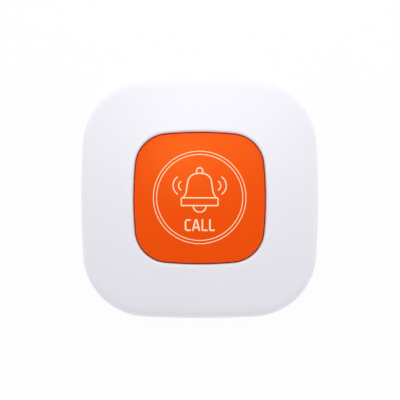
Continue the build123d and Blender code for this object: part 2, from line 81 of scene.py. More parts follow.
# ---- Table and light ----
# The button lies on a wide white table in a white room that is brightest at its sides. A small soft
# lamp hangs close over its far side, and a wider one high up leaves a sheen on the key.
class Signal:
    """A shader socket that takes part in Python arithmetic, adding the Math nodes it needs."""

    def __init__(self, nodes, socket):
        self.nodes = nodes
        self.socket = socket

    def math(self, operation, *others):
        return self.nodes.math(operation, self, *others)

    def __add__(self, other):
        return self.math("ADD", other)

    def __radd__(self, other):
        return self.nodes.math("ADD", other, self)

    def __sub__(self, other):
        return self.math("SUBTRACT", other)

    def __rsub__(self, other):
        return self.nodes.math("SUBTRACT", other, self)

    def __mul__(self, other):
        return self.math("MULTIPLY", other)

    def __rmul__(self, other):
        return self.nodes.math("MULTIPLY", other, self)

    def __abs__(self):
        return self.math("ABSOLUTE")

    def above(self, limit):
        return self.math("GREATER_THAN", limit)

    def below(self, limit):
        return self.math("LESS_THAN", limit)


class Nodes:
    """The node tree of a material or a world: node() adds any node, the rest are shorthand for it."""

    def __init__(self, owner):
        self.owner = owner
        owner.use_nodes = True
        self.tree = owner.node_tree
        self.tree.nodes.clear()

    def node(self, kind, output=0, settings=None, **sockets):
        """Add a node and return one output. A socket goes by its name, or by i and its number."""
        node = self.tree.nodes.new("ShaderNode" + kind)
        for key, value in (settings or {}).items():
            setattr(node, key, value)
        for key, value in sockets.items():
            number = key[1:]
            slot = node.inputs[int(number) if number.isdigit() else key.replace("_", " ")]
            if isinstance(value, Signal):
                self.tree.links.new(value.socket, slot)
            elif slot.type == "RGBA":
                slot.default_value = (*value, 1)
            else:
                slot.default_value = value
        return Signal(self, node.outputs[output])

    def math(self, operation, *values):
        slots = {f"i{number}": value for number, value in enumerate(values)}
        return self.node("Math", settings={"operation": operation}, **slots)

    def place(self):
        return self.node("TexCoord", "Object")

    def axis(self, letter):
        return self.node("SeparateXYZ", letter, Vector=self.place())

    def noise(self, scale, detail=2.0, stretch=(1, 1, 1)):
        spot = self.node("Mapping", Vector=self.place(), Scale=stretch)
        return self.node("TexNoise", Vector=spot, Scale=scale, Detail=detail)

    def blend(self, factor, first, second):
        return self.node("Mix", 2, settings={"data_type": "RGBA"}, i0=factor, i6=first, i7=second)

    def bump(self, height, depth):
        return self.node("Bump", Height=height, Distance=depth, Strength=0.4)

    def surface(self, colour, roughness, normal, **constants):
        """End a material with a Principled shader."""
        self.end("OutputMaterial", self.node(
            "BsdfPrincipled", Base_Color=colour, Roughness=roughness, Normal=normal, **constants))

    def end(self, kind, shader):
        output = self.tree.nodes.new("ShaderNode" + kind)
        self.tree.links.new(shader.socket, output.inputs[0])


def material(name):
    """Start a new material and return its nodes."""
    return Nodes(bpy.data.materials.new(name))


def seen_rays(nodes):
    """Return 1 for rays from the lens and for those that a mirror or glass sends on, else 0."""
    seen = nodes.node("LightPath", "Is Camera Ray")
    mirrored = nodes.node("LightPath", "Is Glossy Ray")
    through = nodes.node("LightPath", "Is Transmission Ray")
    return (seen + mirrored + through).math("MINIMUM", 1.0)


table_width = 6.0
table_drop = 0.01 * MM  # keeps the table's face clear of the feet's
table_glow_share = 0.95

white_table = material("white_table")
table_tone = white_table.blend(white_table.noise(6.0, 3.0), (0.88, 0.88, 0.89), (0.91, 0.91, 0.92))
table_face = white_table.node("BsdfPrincipled", Base_Color=table_tone, Roughness=0.6)
table_glow = white_table.node("Emission", Color=(1, 1, 1))
table_share = seen_rays(white_table) * table_glow_share
table_mix = white_table.node("MixShader", i0=table_share, i1=table_face, i2=table_glow)
white_table.end("OutputMaterial", table_mix)

bpy.ops.object.select_all(action="DESELECT")
bpy.ops.mesh.primitive_plane_add(size=table_width, location=(0, 0, -table_drop))
table = bpy.context.object
table.name = "table_top"
table.data.materials.append(white_table.owner)

for name, width, power, place in (
    ("near_lamp", 0.16, 0.115, Vector((0.01, 0.11, 0.165))),
    ("high_lamp", 0.2, 0.65, Vector((-0.08, 0.23, 0.97))),
):
    lamp = bpy.data.objects.new(name, bpy.data.lights.new(name, "AREA"))
    lamp.data.size = width
    lamp.data.energy = power
    lamp.location = place
    lamp.rotation_euler = (-place).to_track_quat("-Z", "Y").to_euler()
    lamp.visible_camera = False
    bpy.context.scene.collection.objects.link(lamp)

room = Nodes(bpy.data.worlds.new("room"))
toward = room.node("TexCoord", "Generated")
across, along, up = (room.node("SeparateXYZ", letter, Vector=toward) for letter in "XYZ")
room_light = 1.27 + 0.45 * abs(across) + 0.06 * along - 1.14 * abs(up)
room_seen = seen_rays(room)
room_strength = room_light * (1 - room_seen) + room_seen
room.end("OutputWorld", room.node("Background", Color=(1, 1, 1), Strength=room_strength))
bpy.context.scene.world = room.owner


# ---- Base cover ----
# The lower half of the puck is moulded in white ABS with a fine satin grain. It carries the battery
# well, the bosses for the cover screws and the recesses for the feet.
weld_reach = 0.001 * MM

white_abs = material("white_abs")
white_cloud = white_abs.noise(45.0, 3.0)
white_abs.surface(
    white_abs.blend(white_cloud, (0.805, 0.80, 0.865), (0.835, 0.83, 0.885)),
    white_cloud * 0.08 + 0.30,
    white_abs.bump(white_abs.noise(6000.0), 0.004 * MM),
)


def softened(node, name, width, segments=2):
    """Copy a CAD node's mesh, join its loose triangles and round its sharp edges."""
    bpy.ops.object.select_all(action="DESELECT")
    piece = bpy.data.objects.new(name, bpy.data.objects[node].data.copy())
    bpy.context.scene.collection.objects.link(piece)
    piece.select_set(True)
    bpy.context.view_layer.objects.active = piece
    bpy.ops.object.mode_set(mode="EDIT")
    bpy.ops.mesh.select_all(action="SELECT")
    bpy.ops.mesh.remove_doubles(threshold=weld_reach)
    bpy.ops.mesh.dissolve_limited(angle_limit=radians(0.5))
    bpy.ops.object.mode_set(mode="OBJECT")
    rounding = piece.modifiers.new("rounding", "BEVEL")
    rounding.width = width
    rounding.segments = segments
    rounding.limit_method = "ANGLE"
    rounding.angle_limit = radians(30)
    bpy.ops.object.modifier_apply(modifier=rounding.name)
    return piece


def dress(piece, body, finish, nodes=(), smooth=35):
    """Shade a piece smooth up to an angle, give it its material and hand it to the frame."""
    bpy.ops.object.select_all(action="DESELECT")
    piece.select_set(True)
    bpy.context.view_layer.objects.active = piece
    bpy.ops.object.shade_smooth_by_angle(angle=radians(smooth))
    piece.data.materials.clear()
    piece.data.materials.append(finish.owner)
    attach(piece, body)
    if nodes:
        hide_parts(*nodes)


base = softened("base_cover", "base_shell", 0.25 * MM)
dress(base, "housing", white_abs, ["base_cover"])

# ---- Rubber feet ----
# Four dark rubber pads are glued in recesses under the corners, over the heads of the cover screws.
foot_rubber = material("foot_rubber")
rubber_cloud = foot_rubber.noise(400.0, 3.0)
foot_rubber.surface(
    foot_rubber.blend(rubber_cloud, (0.024, 0.024, 0.026), (0.040, 0.040, 0.043)),
    rubber_cloud * 0.12 + 0.62,
    foot_rubber.bump(foot_rubber.noise(3000.0), 0.01 * MM),
)
for number in range(1, 5):
    foot = softened(f"rubber_foot_{number}", f"foot_pad_{number}", 0.35 * MM, segments=4)
    dress(foot, "housing", foot_rubber, [f"rubber_foot_{number}"])

# ---- Cover screws ----
# Four zinc-plated thread-forming screws with hexagon heads hold the two shells together.
screw_zinc = material("screw_zinc")
zinc_cloud = screw_zinc.noise(1500.0, 3.0)
screw_zinc.surface(
    screw_zinc.blend(zinc_cloud, (0.50, 0.51, 0.53), (0.64, 0.64, 0.65)),
    zinc_cloud * 0.15 + 0.30,
    screw_zinc.bump(screw_zinc.noise(2500.0, stretch=(1, 1, 3)), 0.02 * MM),
    Metallic=1.0,
)


def refinish(node, finish):
    """Keep a CAD node's mesh and give it its material."""
    slots = bpy.data.objects[node].data.materials
    slots.clear()
    slots.append(finish.owner)


refinish("cover_screws", screw_zinc)

# ---- Battery door ----
# A white disc with a coin slot closes the battery well. Its three lugs turn behind the bayonet ring,
# and a black ring of soft rubber on its flange seals it.
door = softened("battery_door", "coin_slot_door", 0.2 * MM)
dress(door, "battery_door", white_abs, ["battery_door"])

seal_rubber = material("seal_rubber")
seal_cloud = seal_rubber.noise(700.0)
seal_rubber.surface(
    seal_rubber.blend(seal_cloud, (0.018, 0.018, 0.019), (0.035, 0.035, 0.036)),
    seal_cloud * 0.15 + 0.45,
    seal_rubber.bump(seal_cloud, 0.01 * MM),
)
seal = softened("door_seal_ring", "door_seal", 0.28 * MM, segments=4)
dress(seal, "battery_door", seal_rubber, ["door_seal_ring"])

# ---- Coin cell ----
# A lithium coin cell lies in the well. Its stainless can is brushed in one direction and has a raised
# crimp round its edge.
cell_radius = 10.0 * MM
crimp_width = 0.9 * MM

cell_steel = material("cell_steel")
cell_brush = cell_steel.noise(900.0, 3.0, stretch=(0.05, 1, 1))
in_plan = cell_steel.node(
    "VectorMath", settings={"operation": "MULTIPLY"}, i0=cell_steel.place(), i1=(1, 1, 0))
from_axis = cell_steel.node("VectorMath", "Value", settings={"operation": "LENGTH"}, i0=in_plan)
cell_crimp = from_axis.above(cell_radius - crimp_width)
cell_steel.surface(
    cell_steel.blend(cell_brush, (0.60, 0.60, 0.60), (0.74, 0.74, 0.73)),
    cell_brush * 0.12 + cell_crimp * 0.1 + 0.22,
    cell_steel.bump(cell_brush + cell_crimp, 0.03 * MM),
    Metallic=1.0,
)
cell = softened("coin_cell", "lithium_cell", 0.35 * MM, segments=3)
dress(cell, "housing", cell_steel, ["coin_cell"])

# ---- Battery contacts ----
# Two strips of nickel-plated spring steel are soldered under the board: one rests on the cell's top and
# one on its side.
plated_steel = material("plated_steel")
plate_roll = plated_steel.noise(1200.0, 3.0, stretch=(0.1, 1, 1))
plated_steel.surface(
    plated_steel.blend(plate_roll, (0.60, 0.58, 0.54), (0.76, 0.74, 0.69)),
    plate_roll * 0.14 + 0.22,
    plated_steel.bump(plate_roll, 0.01 * MM),
    Metallic=1.0,
)
for node in ("negative_contact", "positive_contact"):
    strip = softened(node, node + "_strip", 0.05 * MM)
    dress(strip, "housing", plated_steel, [node])

# ---- Circuit board ----
# The board is glass laminate under a green solder mask. Copper tracks show through the mask as paler
# lines, and the cut edges are bare.
board_bottom = 7.6 * MM
board_top = 8.6 * MM
mask_thickness = 0.02 * MM
track_pitch = 1.27 * MM
track_width = 0.25 * MM

board_laminate = material("board_laminate")
board_x = board_laminate.axis("X")
board_y = board_laminate.axis("Y")
board_z = board_laminate.axis("Z")
down_tracks = board_x.math("PINGPONG", track_pitch).below(track_width)
across_tracks = board_y.math("PINGPONG", 2 * track_pitch).below(track_width)
patch = board_laminate.noise(180.0, 1.0).above(0.5)
tracks = down_tracks * patch + across_tracks * (1 - patch)
from_core = abs(board_z - (board_bottom + board_top) / 2)
cut_edge = from_core.below((board_top - board_bottom) / 2 - mask_thickness)
mask = board_laminate.blend(tracks, (0.008, 0.10, 0.035), (0.022, 0.19, 0.065))
weave = board_laminate.noise(2500.0)
glass = board_laminate.blend(weave, (0.42, 0.38, 0.20), (0.58, 0.53, 0.32))
board_laminate.surface(
    board_laminate.blend(cut_edge, mask, glass),
    cut_edge * 0.35 + weave * 0.06 + 0.28,
    board_laminate.bump(tracks, 0.03 * MM),
)
refinish("circuit_board", board_laminate)

# ---- Radio parts ----
# A moulded radio chip, its crystal in a steel case and six tan ceramic capacitors are soldered to the
# board's upper side.
chip_resin = material("chip_resin")
resin_grain = chip_resin.noise(4000.0, 3.0)
chip_resin.surface(
    chip_resin.blend(resin_grain, (0.012, 0.012, 0.013), (0.030, 0.030, 0.031)),
    resin_grain * 0.2 + 0.5,
    chip_resin.bump(resin_grain, 0.01 * MM),
)
chip = softened("radio_chip", "radio_chip_body", 0.1 * MM)
dress(chip, "housing", chip_resin, ["radio_chip"])
crystal = softened("radio_crystal", "crystal_case", 0.2 * MM, segments=3)
dress(crystal, "housing", plated_steel, ["radio_crystal"])

# The capacitors stand in two columns, one length either side of a middle line. Their ends are tinned.
capacitor_middle = -17.336 * MM
capacitor_length = 1.6 * MM
end_length = 0.35 * MM
capacitor_ceramic = material("capacitor_ceramic")
from_line = abs(capacitor_ceramic.axis("X") - capacitor_middle)
tinned = abs(from_line - capacitor_length).above(capacitor_length / 2 - end_length)
tan_grain = capacitor_ceramic.noise(5000.0)
tan_tone = capacitor_ceramic.blend(tan_grain, (0.40, 0.30, 0.19), (0.50, 0.39, 0.26))
capacitor_ceramic.surface(
    capacitor_ceramic.blend(tinned, tan_tone, (0.70, 0.70, 0.71)),
    0.55 - tinned * 0.3,
    capacitor_ceramic.bump(tan_grain, 0.01 * MM),
)
capacitors = softened("chip_capacitors", "chip_capacitor_set", 0.06 * MM)
dress(capacitors, "housing", capacitor_ceramic, ["chip_capacitors"])

# ---- Buffer capacitor ----
# An electrolytic capacitor hangs under the board: a drawn aluminium can on a black plastic foot, with a
# groove rolled round it near the foot and a dark stripe on the side of its minus lead.
can_place = Vector((-20.0 * MM, 6.0 * MM, 0))
foot_width = 4.0 * MM
foot_edge = 0.08 * MM
can_top = board_bottom - 0.6 * MM
can_low = board_bottom - 3.6 * MM
can_radius = 1.95 * MM
can_groove = 0.117 * MM
can_sides = 48
stripe_reach = 1.5 * MM

aluminium_can = material("aluminium_can")
can_brush = aluminium_can.noise(1500.0, 3.0, stretch=(1, 1, 0.05))
can_stripe = aluminium_can.axis("X").below(can_place.x - stripe_reach)
can_foot = aluminium_can.axis("Z").above(can_top + 0.01 * MM)
can_dark = can_stripe.math("MAXIMUM", can_foot)
can_tone = aluminium_can.blend(can_brush, (0.66, 0.67, 0.68), (0.80, 0.81, 0.82))
aluminium_can.surface(
    aluminium_can.blend(can_dark, can_tone, (0.02, 0.02, 0.022)),
    can_dark * 0.25 + can_brush * 0.1 + 0.22,
    aluminium_can.bump(can_brush, 0.01 * MM),
    Metallic=1 - can_dark,
)


def start_piece(name):
    """Add an empty mesh object and open it in edit mode."""
    bpy.ops.object.select_all(action="DESELECT")
    bpy.ops.mesh.primitive_plane_add(size=MM)
    piece = bpy.context.object
    piece.name = name
    bpy.ops.object.mode_set(mode="EDIT")
    bpy.ops.mesh.delete(type="VERT")
    return piece


def block(middle, size, low, high, turn=0.0):
    """Add a box in edit mode: its middle and size in plan, its two heights and its turn."""
    bpy.ops.object.mode_set(mode="EDIT")
    bpy.ops.mesh.select_all(action="DESELECT")
    bpy.ops.mesh.primitive_cube_add(
        size=1,
        location=(middle[0], middle[1], (low + high) / 2),
        rotation=(0, 0, turn),
        scale=(*size, high - low),
    )


def pull(profile, center=(0, 0, 0)):
    """Extrude the selected face through pairs of a height and a width, the first being its own."""
    for (low, before), (high, width) in zip(profile, profile[1:]):
        bpy.ops.mesh.extrude_region_move(TRANSFORM_OT_translate={"value": (0, 0, high - low)})
        bpy.ops.transform.resize(value=(width / before, width / before, 1), center_override=center)


def close_up():
    """Join the seams of the active piece, turn its faces outwards and leave edit mode."""
    bpy.ops.object.mode_set(mode="EDIT")
    bpy.ops.mesh.select_all(action="SELECT")
    bpy.ops.mesh.remove_doubles(threshold=weld_reach)
    bpy.ops.mesh.normals_make_consistent(inside=False)
    bpy.ops.object.mode_set(mode="OBJECT")


can = start_piece("electrolytic_can")
block(can_place, (foot_width, foot_width), can_top, board_bottom)
bpy.ops.mesh.bevel(offset=foot_edge, segments=2, affect="EDGES")
bpy.ops.mesh.select_all(action="DESELECT")
bpy.ops.mesh.primitive_circle_add(
    vertices=can_sides,
    radius=can_radius,
    fill_type="NGON",
    location=can_place + Vector((0, 0, can_top)),
)
pull((
    (can_top, can_radius),
    # The groove
    (can_top - 0.50 * MM, can_radius),
    (can_top - 0.62 * MM, can_radius - can_groove),
    (can_top - 0.86 * MM, can_radius - can_groove),
    (can_top - 0.98 * MM, can_radius),
    # The round edge and the end
    (can_low + 0.20 * MM, can_radius),
    (can_low + 0.06 * MM, can_radius * 0.985),
    (can_low, can_radius * 0.916),
    (can_low, can_radius * 0.458),
), can_place)
close_up()
dress(can, "housing", aluminium_can, ["buffer_capacitor"])

# ---- Antenna coil ----
# The aerial is a coil of five turns of enamelled copper wire that lies under the board. Both of its
# ends are bent up and soldered in.
antenna_column = 20.6 * MM
antenna_axis = 5.1 * MM
antenna_radius = 1.9 * MM
antenna_wire = 0.28 * MM
antenna_pitch = 2.2 * MM
antenna_turns = 5
wire_sides = 10
coil_steps = 32

copper_wire = material("copper_wire")
copper_cloud = copper_wire.noise(800.0, 3.0)
copper_wire.surface(
    copper_wire.blend(copper_cloud, (0.62, 0.24, 0.10), (0.80, 0.38, 0.18)),
    copper_cloud * 0.12 + 0.22,
    copper_wire.bump(copper_cloud, 0.01 * MM),
    Metallic=1.0,
    Coat_Weight=0.3,
)


def settle():
    """Write the active object's place and turn into its mesh."""
    bpy.ops.object.transform_apply(location=True, rotation=True, scale=True)


def wind(name, radius, wire, pitch, turns):
    """Screw a round wire's section up the Z axis into a coil, and close its two ends."""
    bpy.ops.object.select_all(action="DESELECT")
    bpy.ops.mesh.primitive_circle_add(vertices=wire_sides, radius=wire, rotation=(pi / 2, 0, 0))
    piece = bpy.context.object
    piece.name = name
    bpy.ops.object.mode_set(mode="EDIT")
    bpy.ops.transform.translate(value=(radius, 0, 0))
    bpy.ops.object.mode_set(mode="OBJECT")
    settle()
    coil = piece.modifiers.new("coil", "SCREW")
    coil.angle = 2 * pi
    coil.screw_offset = pitch
    coil.iterations = turns
    coil.steps = coil.render_steps = coil_steps
    bpy.ops.object.modifier_apply(modifier=coil.name)
    bpy.ops.object.mode_set(mode="EDIT")
    bpy.ops.mesh.select_all(action="DESELECT")
    bpy.ops.mesh.select_non_manifold()
    bpy.ops.mesh.edge_face_add()
    bpy.ops.object.mode_set(mode="OBJECT")
    return piece


def rod(middle, radius, low, high, sides, turn=0.0):
    """Add an upright prism in edit mode: its middle in plan, radius, two heights, sides and turn."""
    bpy.ops.object.mode_set(mode="EDIT")
    bpy.ops.mesh.select_all(action="DESELECT")
    bpy.ops.mesh.primitive_cylinder_add(
        vertices=sides,
        radius=radius,
        depth=high - low,
        location=(middle[0], middle[1], (low + high) / 2),
        rotation=(0, 0, turn),
    )


antenna_end = antenna_pitch * antenna_turns / 2
antenna = wind("antenna_winding", antenna_radius, antenna_wire, antenna_pitch, antenna_turns)
antenna.location = (antenna_column, antenna_end, antenna_axis)
antenna.rotation_euler = (pi / 2, 0, 0)
settle()
for leg in (-antenna_end, antenna_end):
    leg_place = (antenna_column + antenna_radius, leg)
    rod(leg_place, antenna_wire, antenna_axis - antenna_wire, board_bottom, wire_sides)
close_up()
dress(antenna, "housing", copper_wire, ["antenna_coil"], smooth=60)

# ---- Push switch ----
# The switch has a black moulded base, a folded steel cover with four crimped corners, and a black
# plunger under the boot.
switch_plastic = material("switch_plastic")
switch_grain = switch_plastic.noise(3000.0)
switch_plastic.surface(
    switch_plastic.blend(switch_grain, (0.016, 0.016, 0.017), (0.032, 0.032, 0.034)),
    switch_grain * 0.15 + 0.42,
    switch_plastic.bump(switch_grain, 0.01 * MM),
)
for node, name, body, round_edge in (
    ("switch_base", "switch_housing", "housing", 0.15 * MM),
    ("switch_plunger", "plunger_stem", "switch_plunger", 0.2 * MM),
):
    piece = softened(node, name, round_edge)
    dress(piece, body, switch_plastic, [node])
cover = softened("switch_cover", "switch_cap_plate", 0.08 * MM)
dress(cover, "housing", plated_steel, ["switch_cover"])

# ---- Guide plate ----
# A grey ABS plate over the board guides the key's posts and keeps spills off the electronics. A low dam
# stands round the boot.
inner_plastic = material("inner_plastic")
inner_cloud = inner_plastic.noise(80.0, 3.0)
inner_plastic.surface(
    inner_plastic.blend(inner_cloud, (0.50, 0.50, 0.50), (0.57, 0.57, 0.56)),
    inner_cloud * 0.1 + 0.45,
    inner_plastic.bump(inner_plastic.noise(4000.0), 0.01 * MM),
)
plate = softened("guide_plate", "post_guide", 0.15 * MM)
dress(plate, "housing", inner_plastic, ["guide_plate"])

# ---- Switch boot ----
# A hood of pale silicone rubber covers the switch. It is drawn at rest.
plate_top = 11.5 * MM
boot_width = 15.4 * MM
boot_corner = 1.6 * MM
boot_fold = 0.12 * MM

boot_silicone = material("boot_silicone")
silicone_cloud = boot_silicone.noise(350.0)
boot_silicone.surface(
    boot_silicone.blend(silicone_cloud, (0.62, 0.62, 0.59), (0.72, 0.72, 0.70)),
    silicone_cloud * 0.12 + 0.40,
    boot_silicone.bump(silicone_cloud, 0.01 * MM),
    Subsurface_Weight=0.15,
    Subsurface_Scale=1.0 * MM,
)


def pick(piece, test):
    """Select the vertices that pass a test, and the edges and faces between them."""
    bpy.ops.object.mode_set(mode="EDIT")
    bpy.ops.mesh.select_mode(type="VERT")
    bpy.ops.mesh.select_all(action="DESELECT")
    bpy.ops.object.mode_set(mode="OBJECT")
    for point in piece.data.vertices:
        point.select = test(point)
    bpy.ops.object.mode_set(mode="EDIT")


boot = start_piece("silicone_boot")
bpy.ops.mesh.primitive_plane_add(size=boot_width, location=(0, 0, plate_top))
bpy.ops.mesh.bevel(offset=boot_corner, segments=5, affect="VERTICES")
pull((
    (plate_top, boot_width),
    # The flange, the wall, the slope and the crown
    (plate_top + 0.6 * MM, boot_width),
    (plate_top + 0.6 * MM, 13.4 * MM),
    (plate_top + 1.1 * MM, 13.4 * MM),
    (plate_top + 2.2 * MM, 5.4 * MM),
    (plate_top + 2.2 * MM, 2.0 * MM),
))
pick(boot, lambda point: point.co.z < plate_top + 0.01 * MM)
pull((
    (plate_top, boot_width),
    # The hollow, from the mouth in the flange up to its ceiling
    (plate_top, 12.6 * MM),
    (plate_top + 0.7 * MM, 12.6 * MM),
    (plate_top + 1.65 * MM, 4.2 * MM),
))
close_up()
fold = boot.modifiers.new("rounding", "BEVEL")
fold.width = boot_fold
fold.segments = 3
fold.angle_limit = radians(20)
bpy.ops.object.modifier_apply(modifier=fold.name)
dress(boot, "housing", boot_silicone, ["switch_boot"], smooth=50)
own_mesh(boot)

# ---- Key springs ----
# Four coil springs of steel wire stand on the guide plate, round the key's posts, and push the key up.
post_place = 12.336 * MM
spring_radius = 1.9 * MM
spring_wire = 0.175 * MM
spring_pitch = 1.0 * MM
spring_turns = 3

spring_steel = material("spring_steel")
drawn_wire = spring_steel.noise(2000.0, 3.0)
spring_steel.surface(
    spring_steel.blend(drawn_wire, (0.46, 0.46, 0.47), (0.62, 0.62, 0.63)),
    drawn_wire * 0.12 + 0.22,
    spring_steel.bump(drawn_wire, 0.01 * MM),
    Metallic=1.0,
)
coil = wind("coil", spring_radius, spring_wire, spring_pitch, spring_turns)
close_up()
spring_places = ((-1, -1), (-1, 1), (1, -1), (1, 1))
for number, (side, end) in enumerate(spring_places, start=1):
    spring = bpy.data.objects.new(f"spring_coil_{number}", coil.data.copy())
    bpy.context.scene.collection.objects.link(spring)
    spring_place = Vector((side * post_place, end * post_place, plate_top + spring_wire))
    spring.data.transform(Matrix.Translation(spring_place))
    dress(spring, "housing", spring_steel, [f"cap_spring_{number}"], smooth=60)
    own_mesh(spring)
bpy.data.objects.remove(coil)

# ---- Call key ----
# The key is one orange ABS moulding with bowed sides, round corners, a shallow dome and a small round
# edge. Under it stand four tabs that stop it on the way up, four posts, each in a seat that a spring
# pushes on, and two ribs that cross at the boss that presses the boot.
key_bottom = 12.7 * MM
key_crown = 17.5 * MM
key_radius = 125.0 * MM
key_wall = 1.4 * MM
key_ceiling = 15.7 * MM
ceiling_radius = 248.2 * MM  # flatter than the top, which keeps the underside clear of the springs
key_edge = 0.45 * MM
lead_in = 0.2 * MM
tab_end = 20.75 * MM
tab_depth = 2.1 * MM
tab_length = 12.0 * MM
tab_top = 13.5 * MM
post_width = 2.0 * MM
post_end = 9.9 * MM
post_root = 15.3 * MM
seat_width = 4.6 * MM
seat_face = 14.9 * MM
seat_root = 15.5 * MM
rib_length = 28.0 * MM
rib_width = 1.0 * MM
rib_edge = 14.8 * MM
press_width = 4.0 * MM
press_face = 14.0 * MM
middle_root = 16.0 * MM
side_steps = 14
corner_steps = 20
ring_count = 4 * (side_steps + corner_steps)

orange_abs = material("orange_abs")
orange_cloud = orange_abs.noise(60.0, 3.0)
orange_abs.surface(
    orange_abs.blend(orange_cloud, (0.85, 0.064, 0.001), (0.89, 0.073, 0.002)),
    orange_cloud * 0.08 + 0.28,
    orange_abs.bump(orange_abs.noise(5000.0), 0.004 * MM),
    Specular_IOR_Level=0.5,
    Specular_Tint=(1.0, 0.62, 0.12),
)


def add_point(place):
    """Add a lone point in edit mode and select nothing else."""
    bpy.ops.mesh.select_all(action="DESELECT")
    bpy.ops.mesh.primitive_plane_add(size=0.1 * MM, location=place)
    bpy.ops.mesh.merge(type="CENTER")


class Outline:
    """A square with bowed sides and round corners, drawn as rings of eight spun arcs."""

    def __init__(self, width, side_radius, corner_radius):
        self.side_radius = side_radius
        self.side_center = width / 2 - side_radius
        spread = 2 * (side_radius - corner_radius) ** 2 - self.side_center**2
        self.corner = (sqrt(spread) + self.side_center) / 2
        self.blend = atan2(self.corner, self.corner - self.side_center)

    def ring(self, grow, height):
        """Add one closed ring, moved outwards by grow, to the mesh in edit mode."""
        reach = self.side_radius + grow
        add_point((self.side_center + reach * cos(self.blend), -reach * sin(self.blend), height))
        for quarter in range(4):
            turn = Matrix.Rotation(quarter * pi / 2, 3, "Z")
            side = turn @ Vector((self.side_center, 0, height))
            bend = turn @ Vector((self.corner, self.corner, height))
            for center, angle, steps in (
                (side, 2 * self.blend, side_steps),
                (bend, pi / 2 - 2 * self.blend, corner_steps),
            ):
                bpy.ops.mesh.spin(steps=steps, angle=-angle, center=center, axis=(0, 0, 1))
        bpy.ops.mesh.select_linked()
        bpy.ops.mesh.remove_doubles(threshold=0.01 * MM)
        # Leaving edit mode keeps the points in the order they were drawn
        bpy.ops.object.mode_set(mode="OBJECT")
        bpy.ops.object.mode_set(mode="EDIT")


def in_rings(*numbers):
    """Return a test for the points of some rings, numbered in the order they were drawn."""
    return lambda point: point.index // ring_count in numbers


def skin(piece, first, second, cuts=0):
    """Bridge two rings."""
    pick(piece, in_rings(first, second))
    bpy.ops.mesh.bridge_edge_loops(number_cuts=cuts, interpolation="LINEAR")
    bpy.ops.object.mode_set(mode="OBJECT")


def on_dome(place, crown, radius):
    """Return the height of a dome over a place."""
    return crown - radius + sqrt(radius**2 - place.x**2 - place.y**2)


def lift(piece, test, crown, radius):
    """Set the points that pass a test on a dome."""
    bpy.ops.object.mode_set(mode="OBJECT")
    for point in piece.data.vertices:
        if test(point):
            point.co.z = on_dome(point.co, crown, radius)


def dome_over(piece, ring, rounds, crown, radius):
    """Fill a ring with smaller and smaller ones up to its middle, and lift them onto a dome."""
    bpy.ops.object.mode_set(mode="OBJECT")
    first = len(piece.data.vertices)
    pick(piece, in_rings(ring))
    for number in range(rounds, 1, -1):
        shrink = (number - 1) / number
        bpy.ops.mesh.extrude_region_move()
        bpy.ops.transform.resize(value=(shrink, shrink, 1), center_override=(0, 0, 0))
    bpy.ops.mesh.edge_face_add()
    bpy.ops.mesh.poke()
    lift(piece, lambda point: point.index >= first, crown, radius)


key_outline = Outline(width=38.3 * MM, side_radius=110.0 * MM, corner_radius=9.5 * MM)

key = start_piece("key_shell")
# Up the outside and down the inside. The second and third ring are set on their domes afterwards
key_rings = (
    (0, key_bottom),
    (0, key_crown),
    (-key_wall, key_ceiling),
    (-key_wall, key_bottom + lead_in),
)
for grow, height in key_rings:
    key_outline.ring(grow, height)
lift(key, in_rings(1), key_crown, key_radius)
lift(key, in_rings(2), key_ceiling, ceiling_radius)
for number in (0, 2, 3):
    skin(key, number, (number + 1) % len(key_rings))
dome_over(key, ring=2, rounds=8, crown=key_ceiling, radius=ceiling_radius)
dome_over(key, ring=1, rounds=16, crown=key_crown, radius=key_radius)
pick(key, in_rings(1))
bpy.ops.mesh.bevel(offset=key_edge, segments=5, affect="EDGES")
for quarter in range(4):
    turn = quarter * pi / 2
    along = Matrix.Rotation(turn, 3, "Z")
    post = along @ Vector((post_place, post_place, 0))
    tab = along @ Vector((tab_end - tab_depth / 2, 0, 0))
    block(tab, (tab_depth, tab_length), key_bottom, tab_top, turn)
    block(post, (post_width, post_width), post_end, post_root, turn)
    block(post, (seat_width, seat_width), seat_face, seat_root, turn)
for turn in (-pi / 4, pi / 4):
    block((0, 0), (rib_length, rib_width), rib_edge, middle_root, turn)
block((0, 0), (press_width, press_width), press_face, middle_root)
close_up()
dress(key, "call_cap", orange_abs, ["call_cap"])

# ---- Key print ----
# A cream double ring, a ringing bell and the word CALL are pad-printed on the key. The ink is a thin
# film that stands just proud of the dome. Its lines are in millimetres from the key's middle.
ink_lift = 0.012 * MM
ink_flatness = 0.08  # the share of a round line's height that is left
print_shift = 0.1 * MM  # towards the far side
longest_run = 0.6  # of one step of a straight line, so that it follows the dome

cream_ink = material("cream_ink")
ink_cloud = cream_ink.noise(900.0)
cream_ink.surface(
    cream_ink.blend(ink_cloud, (1.0, 0.67, 0.41), (1.0, 0.75, 0.49)),
    ink_cloud * 0.1 + 0.4,
    cream_ink.bump(ink_cloud, 0.003 * MM),
    Specular_IOR_Level=0.3,
)


def stroke(start, *moves):
    """Draw a line in edit mode: a move is a point to go to, or a centre and degrees to turn about it."""
    here = Vector(start)
    add_point((*(here * MM), 0))
    for move in moves:
        if len(move) == 2:
            run = Vector(move) - here
            steps = int(run.length / longest_run) + 1
            step = run * MM / steps
            for _ in range(steps):
                bpy.ops.mesh.extrude_region_move(TRANSFORM_OT_translate={"value": (*step, 0)})
            here = Vector(move)
        else:
            center = Vector(move[:2])
            turn = radians(move[2])
            steps = int(abs(turn) * sqrt((here - center).length) * 3) + 3
            bpy.ops.mesh.spin(steps=steps, angle=-turn, center=(*(center * MM), 0), axis=(0, 0, 1))
            here = center + Matrix.Rotation(turn, 2) @ (here - center)


